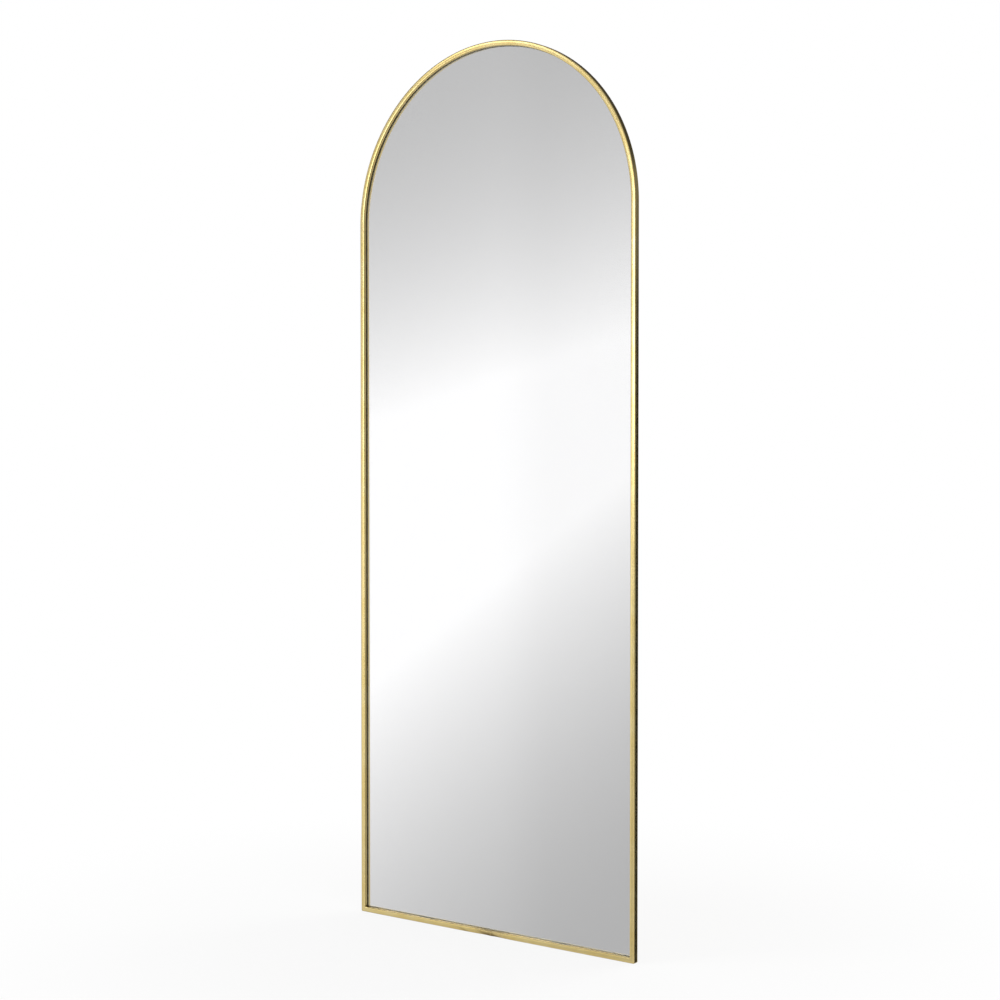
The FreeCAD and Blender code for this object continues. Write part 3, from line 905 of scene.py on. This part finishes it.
def clipped_plate(node, half_width, clip, edge):
    """Sheared plate with clipped corners, drawn from the origin along +X as a left CAD node's."""
    low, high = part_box(node)
    length = high.x - low.x
    middle = (low.x + high.x) / 2 + HALF_WIDTH
    deselect_all()
    bpy.ops.mesh.primitive_plane_add(size=1, location=(middle, low.y, 0), rotation=(math.pi / 2, 0, 0))
    plate = bpy.context.object
    edit(plate)
    bpy.ops.transform.resize(value=(length, 1, 2 * half_width))
    bpy.ops.mesh.bevel(offset=clip, segments=1, affect="VERTICES")
    select_whole()
    extrude((0, high.y - low.y, 0))
    tidy_mesh()
    select_whole()
    bpy.ops.mesh.bevel(offset=edge, segments=2, affect="EDGES")
    tidy_mesh()
    leave_edit()
    return plate


def weld_bead(length):
    """Short rippled weld bead, drawn from the origin along +X."""
    start_share = 0.45
    deselect_all()
    bpy.ops.mesh.primitive_circle_add(vertices=10, radius=BEAD_RADIUS, rotation=(0, math.pi / 2, 0))
    bead = bpy.context.object
    edit(bead)
    select_whole()
    bpy.ops.transform.resize(value=(1, start_share, start_share))
    for share in BEAD_RIPPLES:
        extrude((length / len(BEAD_RIPPLES), 0, 0))
        bpy.ops.transform.resize(value=(1, share, share))
    bpy.ops.mesh.edge_face_add()
    select_vertices(lambda p: p.x < NEAR / 10)
    bpy.ops.mesh.edge_face_add()
    tidy_mesh()
    leave_edit()
    return bead


class FLOORMIRROR_OT_tabs(PiecesOperator):
    """Shear the tabs that hold the panel and weld them to the tube"""

    bl_idname = "floor_mirror.tabs"
    bl_label = "Panel Tabs"

    def execute(self, context):
        shape = context.scene.mirror_shape
        tab = clipped_plate("tabs_left", TAB_HALF_WIDTH, shape.tab_clip, shape.plate_edge)
        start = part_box("tabs_left")[0].x + HALF_WIDTH
        brass = bpy.data.materials["satin_brass"]
        bead_places = []
        for node, places in tab_places(shape.side_tabs).items():
            piece = joined_copies(tab, places)
            finish_piece(piece, node + "_sheared", brass, replaced=[node], angle=20)
            for place in places:
                bead_places += self.beads_beside(place, start, TAB_HALF_WIDTH)
        plate_low, plate_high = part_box("hanger_plate_left")
        for side in SIDES:
            half_width = (plate_high.z - plate_low.z) / 2
            bead_places += self.beads_beside(plate_place(side), start, half_width)
        bead = weld_bead(TUBE_FACE - start)
        beads = joined_copies(bead, bead_places)
        finish_piece(beads, "tab_welds", bpy.data.materials["ground_weld"], angle=60)
        remove(tab)
        remove(bead)
        return {"FINISHED"}

    def beads_beside(self, place, start, half_width):
        """Places of a bead along each of a plate's two edges on the tube."""
        run_in, lift, overlap = 3 * MM, 0.25 * MM, 0.1 * MM
        return [
            place @ Matrix.Translation((start + run_in, TUBE_BACK + lift, side * (half_width - overlap)))
            for side in (-1, 1)
        ]


class FLOORMIRROR_OT_hangers(PiecesOperator):
    """Make the hanger plates, folded straps, rivets and swinging rings"""

    bl_idname = "floor_mirror.hangers"
    bl_label = "Wall Hangers"

    def execute(self, context):
        shape = context.scene.mirror_shape
        zinc = zinc_material(context.scene.mirror_finish)
        low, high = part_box("hanger_plate_left")
        plate = clipped_plate(
            "hanger_plate_left", (high.z - low.z) / 2, shape.plate_clip, shape.plate_edge
        )
        strap = self.folded_strap(shape)
        ring = self.bent_ring(shape)
        for side in SIDES:
            finish_piece(
                joined_copies(plate, [plate_place(side)]), "hanger_plate_sheared_" + side,
                bpy.data.materials["satin_brass"], replaced=["hanger_plate_" + side],
                angle=20,
            )
            bar = Matrix.Translation(self.bar_middle(side))
            finish_piece(
                joined_copies(strap, [bar]), "hanger_strap_folded_" + side, zinc,
                replaced=["hanger_strap_" + side], angle=40,
            )
            finish_piece(
                joined_copies(ring, [bar]), "hanger_ring_bent_" + side, zinc,
                body="ring_" + side, replaced=["hanger_ring_" + side], angle=60,
            )
        self.rivets(shape, zinc)
        for pattern in (plate, strap, ring):
            remove(pattern)
        return {"FINISHED"}

    def bar_middle(self, side):
        """The middle of a ring's bar, on its joint's axis."""
        joint = next(j for j in frame["joints"] if j["name"] == "ring_" + side + "_swing")
        return Vector(joint["pos_m"])

    def folded_strap(self, shape):
        """Strip folded double round the bar; the bar's middle is the origin."""
        low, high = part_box("hanger_strap_left")
        bar = self.bar_middle("left")
        top = high.z - bar.z
        seam = 0.02 * MM
        sheared_edge = 0.15 * MM
        leaf = shape.strap_sheet / 2
        wrap = high.y - bar.y - leaf
        pinch = math.asin(leaf / wrap)
        neck = wrap * math.cos(pinch)
        deselect_all()
        # A plane's near edge is kept, as the strip's end, and drawn down into the strip.
        bpy.ops.mesh.primitive_plane_add(size=1, location=(0, leaf, top))
        strap = bpy.context.object
        edit(strap)
        bpy.ops.transform.resize(value=(high.x - low.x, 1, 1))
        select_vertices(lambda p: p.y > leaf)
        bpy.ops.mesh.delete(type="VERT")
        select_whole()
        shift((0, 0.5, 0))
        extrude((0, 0, neck - top))
        bpy.ops.mesh.spin(steps=20, angle=2 * pinch - math.tau, center=(0, 0, 0), axis=(1, 0, 0))
        extrude((0, 0, top - neck))
        leave_edit()
        sheet = shape.strap_sheet - 2 * seam
        apply_modifier(strap, "SOLIDIFY", thickness=sheet, offset=0.0, use_even_offset=True)
        apply_modifier(strap, "BEVEL", width=sheared_edge, segments=2, limit_method="ANGLE")
        return strap

    def bent_ring(self, shape):
        """D-shaped ring of round wire; the bar's middle is the origin."""
        low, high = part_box("hanger_ring_left")
        # The CAD wire has eight flats, and two of them lie across X.
        radius = (high.x - low.x) / 2 - shape.wire_radius * math.cos(math.pi / 8)
        corner = shape.ring_corner
        shoulder = radius - corner
        deselect_all()
        bpy.ops.mesh.primitive_circle_add(
            vertices=20, radius=shape.wire_radius,
            location=(-shoulder, 0, 0), rotation=(0, math.pi / 2, 0),
        )
        ring = bpy.context.object
        edit(ring)
        select_whole()
        extrude((2 * shoulder, 0, 0))
        for steps, turn, x in ((8, math.pi / 2, shoulder), (40, math.pi, 0), (8, math.pi / 2, -shoulder)):
            bpy.ops.mesh.spin(steps=steps, angle=turn, center=(x, 0, -corner), axis=(0, -1, 0))
        tidy_mesh(2 * NEAR)
        leave_edit()
        return ring

    def rivets(self, shape, zinc):
        """Domed heads and flush tails at the CAD rivets' places."""
        dome_share = 0.95
        tail_chamfer = 0.3 * MM
        low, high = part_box("hanger_rivets")
        strap_low, strap_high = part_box("hanger_strap_left")
        middle_x = (strap_low.x + strap_high.x) / 2
        seat = high.y - shape.rivet_dome
        rivet = cylinder(36, shape.rivet_radius, seat, high.y)
        edit(rivet)
        select_vertices(lambda p: p.y > high.y - NEAR)
        bpy.ops.mesh.bevel(offset=dome_share * shape.rivet_dome, segments=5, affect="EDGES")
        leave_edit()
        shank = cylinder(24, shape.rivet_radius / 2, low.y, seat)
        edit(shank)
        select_vertices(lambda p: p.y < low.y + NEAR)
        bpy.ops.mesh.inset(thickness=tail_chamfer)
        leave_edit()
        rivet.select_set(True)
        bpy.context.view_layer.objects.active = rivet
        bpy.ops.object.join()
        heights = (low.z + shape.rivet_radius, high.z - shape.rivet_radius)
        places = [Matrix.Translation((side * middle_x, 0, z)) for side in (-1, 1) for z in heights]
        finish_piece(
            joined_copies(rivet, places), "domed_rivets", zinc, replaced=["hanger_rivets"],
            angle=50,
        )
        remove(rivet)


class FLOORMIRROR_OT_bumpers(PiecesOperator):
    """Mould the rubber wall bumpers"""

    bl_idname = "floor_mirror.bumpers"
    bl_label = "Wall Bumpers"

    def execute(self, context):
        rubber = rubber_material(context.scene.mirror_finish)
        shape = context.scene.mirror_shape
        dimple_inset = 0.7 * MM
        for node in ("bumpers_base", "bumpers_arch"):
            low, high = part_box(node)
            radius = (high.z - low.z) / 2
            bumper = cylinder(40, radius, low.y, high.y, (low.z + high.z) / 2)
            edit(bumper)
            select_vertices(lambda p: p.y > high.y - NEAR)
            bpy.ops.mesh.bevel(offset=shape.bumper_edge, segments=5, affect="EDGES")
            select_vertices(lambda p: p.y > high.y - NEAR)
            bpy.ops.mesh.inset(thickness=dimple_inset)
            shift((0, -shape.bumper_dimple, 0))
            leave_edit()
            places = [Matrix.Translation((side * (high.x - radius), 0, 0)) for side in (-1, 1)]
            finish_piece(
                joined_copies(bumper, places), node + "_moulded", rubber,
                replaced=[node], angle=40,
            )
            remove(bumper)
        return {"FINISHED"}


# --- Stage ----------------------------------------------------------------
# Strip of light in front of the mirror, which its polished surfaces see. Each edge is
# its dimmest share of the light, and the degrees across the strip where the light is
# dimmest and where it is full.
STRIP_RISE = (0.47, 9.0, 20.0)
STRIP_FALL = (0.52, 24.0, 14.0)
STRIP_FADE = 1.8                  # power of the fade from full light to dimmest
RISE_TILT = math.radians(39)
FALL_TILT = math.radians(19)
STRIP_PEAK = 1.05                 # brightness of full light

# What else they see: (azimuths, elevations, brightness). Each range is start, end and
# blur in degrees; azimuth 0 is ahead of the glass and 90 to its right.
ALL_ROUND = (-400, 400, 1)
ALL_HEIGHTS = (-100, 100, 1)
SURROUNDINGS = (
    ((-400, -47, 4), ALL_HEIGHTS, 0.62),
    ((-400, -43, 4), (15.5, 100, 2.5), 0.2),
    ((-400, -75, 12), (-100, 20, 8), 0.36),
    ((-2, 34, 8), ALL_HEIGHTS, 0.55),
    ((40, 56, 6), ALL_HEIGHTS, 0.46),
    ((62, 112, 8), ALL_HEIGHTS, 0.24),
    ((120, 400, 10), ALL_HEIGHTS, 0.60),
    ((-400, -150, 12), ALL_HEIGHTS, 0.60),
    ((-60, 40, 10), (-60, -20, 4), 0.58),
    ((-28, 30, 3), (-24, 0, 4), 0.66),
    (ALL_ROUND, (38, 120, 12), 0.26),
    ((110, 400, 8), (16, 120, 8), 0.22),
    ((-31.4, -10, 0.9), (1, 7, 3), 3.6),
    ((-41, -34, 2), (13.9, 19, 0.8), 2.6),
    ((139, 156, 5), (5, 14, 4), 0.16),
    ((141, 158, 3), (-30, 3, 5), 0.0),
    ((-400, -130, 12), (24, 100, 8), 0.05),
    ((130, 400, 10), (24, 100, 8), 0.05),
)

# Lamps aimed at the middle of the mirror: name, place, and share of the key light.
LAMPS = (
    ("key_lamp", (-2.6, -3.2, 3.0), 1.0),
    ("fill_lamp", (3.2, -2.2, 2.4), 0.5),
    ("back_lamp", (1.4, 3.4, 3.0), 0.8),
)
LAMP_SIZE = 2.4

FLOOR_RADIUS = 6.0
FLOOR_PAINT = (0.94, 0.94, 0.94, 1.0)
WASH_START, WASH_END = 0.4, 1.3   # metres from the mirror
WASH_NEAR = 0.86                  # share of white at the mirror, growing to all of it


def strip_edge(tree, across, dimmest, dim_at, full_at):
    """Share of the light over one edge of the strip."""
    inputs = {"Value": across, "From Min": dim_at, "From Max": full_at}
    way_in = add_node(tree, "MapRange", inputs).outputs["Result"]
    return mix_value(tree, math_node(tree, "POWER", way_in, STRIP_FADE), dimmest, 1.0)


class FLOORMIRROR_OT_stage(bpy.types.Operator):
    """Set up the studio: surroundings, floor, lamps and camera"""

    bl_idname = "floor_mirror.stage"
    bl_label = "Studio"

    def execute(self, context):
        studio = context.scene.mirror_studio
        self.surroundings(context, studio)
        self.floor()
        self.lamps(studio)
        self.camera(context, studio)
        context.scene.view_settings.view_transform = "Standard"
        return {"FINISHED"}

    def surroundings(self, context, studio):
        """Even light for matt surfaces, the studio for polished ones, white for the camera."""
        world = bpy.data.worlds.new("studio")
        context.scene.world = world
        world.use_nodes = True
        tree = world.node_tree
        tree.nodes.clear()
        direction = add_node(tree, "TexCoord").outputs["Generated"]
        light_path = add_node(tree, "LightPath").outputs
        shiny = math_node(tree, "MAXIMUM", light_path["Is Glossy Ray"], light_path["Is Transmission Ray"])
        matt, polished, backdrop = (
            add_node(tree, "Background", {"Color": WHITE, "Strength": strength}).outputs[0]
            for strength in (studio.fill, self.polished_surroundings(tree, direction), 1.0)
        )
        lit = add_node(tree, "MixShader", {0: shiny, 1: matt, 2: polished}).outputs[0]
        shown = add_node(tree, "MixShader", {0: light_path["Is Camera Ray"], 1: lit, 2: backdrop})
        add_node(tree, "OutputWorld", {"Surface": shown.outputs[0]})

    def polished_surroundings(self, tree, direction):
        """Brightness of the studio by direction, for the mirror and the metal to reflect."""
        heading = split(tree, direction)
        ahead = times(tree, heading["Y"], -1.0)
        azimuth = times(tree, math_node(tree, "ARCTAN2", heading["X"], ahead), math.degrees(1))
        elevation = times(tree, math_node(tree, "ARCSINE", heading["Z"]), math.degrees(1))
        rise = strip_edge(tree, self.across(tree, azimuth, elevation, RISE_TILT), *STRIP_RISE)
        fall = strip_edge(tree, self.across(tree, azimuth, elevation, FALL_TILT), *STRIP_FALL)
        strip = math_node(tree, "MINIMUM", rise, fall)
        seen = times(tree, strip, smooth_mask(tree, azimuth, -37, -35, STRIP_PEAK, 0.95 * STRIP_PEAK))
        for azimuths, elevations, brightness in SURROUNDINGS:
            mask = times(tree, window(tree, azimuth, *azimuths), window(tree, elevation, *elevations))
            seen = mix_value(tree, mask, seen, brightness)
        return seen

    def across(self, tree, azimuth, elevation, tilt):
        """Degrees across a strip that is tilted by an angle."""
        upward = times(tree, elevation, math.cos(tilt))
        return math_node(tree, "MULTIPLY_ADD", azimuth, -math.sin(tilt), upward)

    def floor(self):
        """Pale floor that keeps the mirror's shadow and washes out to white further off."""
        deselect_all()
        bpy.ops.mesh.primitive_circle_add(vertices=96, radius=FLOOR_RADIUS, fill_type="NGON")
        floor = bpy.context.object
        floor.name = "studio_floor"
        material = bpy.data.materials.new("pale_floor")
        material.use_nodes = True
        tree = material.node_tree
        tree.nodes.clear()
        place = add_node(tree, "TexCoord").outputs["Object"]
        distance = add_node(tree, "VectorMath", {0: place}, operation="LENGTH").outputs["Value"]
        camera_ray = add_node(tree, "LightPath").outputs["Is Camera Ray"]
        paint = add_node(tree, "BsdfDiffuse", {"Color": FLOOR_PAINT}).outputs[0]
        white = add_node(tree, "Emission", {"Color": WHITE, "Strength": 1.0}).outputs[0]
        white_share = smooth_mask(tree, distance, WASH_START, WASH_END, WASH_NEAR, 1.0)
        wash = times(tree, white_share, camera_ray)
        surface = add_node(tree, "MixShader", {0: wash, 1: paint, 2: white}).outputs[0]
        add_node(tree, "OutputMaterial", {"Surface": surface})
        floor.data.materials.append(material)
        floor.visible_glossy = False
        floor.visible_transmission = False

    def lamps(self, studio):
        """Two large soft lamps in front and one behind."""
        target = Vector((0, 0, TUBE_HIGH.z / 2))
        for name, place, share in LAMPS:
            lamp = bpy.data.lights.new(name, "AREA")
            lamp.shape = "DISK"
            lamp.size = LAMP_SIZE
            lamp.energy = studio.key * share
            holder = bpy.data.objects.new(name, lamp)
            bpy.context.scene.collection.objects.link(holder)
            holder.location = place
            holder.rotation_euler = (target - Vector(place)).to_track_quat("-Z", "Y").to_euler()
            holder.visible_glossy = False
            holder.visible_transmission = False

    def camera(self, context, studio):
        camera = bpy.data.cameras.new("camera")
        camera.lens = studio.lens
        camera.sensor_width = 36.0
        holder = bpy.data.objects.new("camera", camera)
        context.scene.collection.objects.link(holder)
        holder.location = studio.camera_place
        holder.rotation_euler = (math.pi / 2 - studio.camera_pitch, 0, studio.camera_azimuth)
        context.scene.camera = holder


# --- Add-on ---------------------------------------------------------------
class FLOORMIRROR_PT_panel(bpy.types.Panel):
    """Lists the steps that build the mirror's looks"""

    bl_idname = "FLOORMIRROR_PT_panel"
    bl_label = "Arched Floor Mirror"
    bl_space_type = "VIEW_3D"
    bl_region_type = "UI"
    bl_category = "Floor Mirror"

    def draw(self, context):
        for operator in PIECES:
            self.layout.operator(operator.bl_idname)
        for group in ("mirror_finish", "mirror_shape", "mirror_studio"):
            settings = getattr(context.scene, group)
            column = self.layout.column()
            for name in type(settings).__annotations__:
                column.prop(settings, name)


PIECES = (
    FLOORMIRROR_OT_effects,
    FLOORMIRROR_OT_frame,
    FLOORMIRROR_OT_panel,
    FLOORMIRROR_OT_tabs,
    FLOORMIRROR_OT_hangers,
    FLOORMIRROR_OT_bumpers,
    FLOORMIRROR_OT_stage,
)
SETTINGS = {"mirror_finish": MirrorFinish, "mirror_shape": MirrorShape, "mirror_studio": StudioSettings}


def register():
    for group in SETTINGS.values():
        bpy.utils.register_class(group)
    for operator in PIECES:
        bpy.utils.register_class(operator)
    bpy.utils.register_class(FLOORMIRROR_PT_panel)
    for name, group in SETTINGS.items():
        setattr(bpy.types.Scene, name, bpy.props.PointerProperty(type=group))


def unregister():
    for name in SETTINGS:
        delattr(bpy.types.Scene, name)
    bpy.utils.unregister_class(FLOORMIRROR_PT_panel)
    for operator in reversed(PIECES):
        bpy.utils.unregister_class(operator)
    for group in SETTINGS.values():
        bpy.utils.unregister_class(group)


def main():
    register()
    bpy.ops.floor_mirror.effects()
    bpy.ops.floor_mirror.frame()
    bpy.ops.floor_mirror.panel()
    bpy.ops.floor_mirror.tabs()
    bpy.ops.floor_mirror.hangers()
    bpy.ops.floor_mirror.bumpers()
    bpy.ops.floor_mirror.stage()


if __name__ == "__main__":
    main()
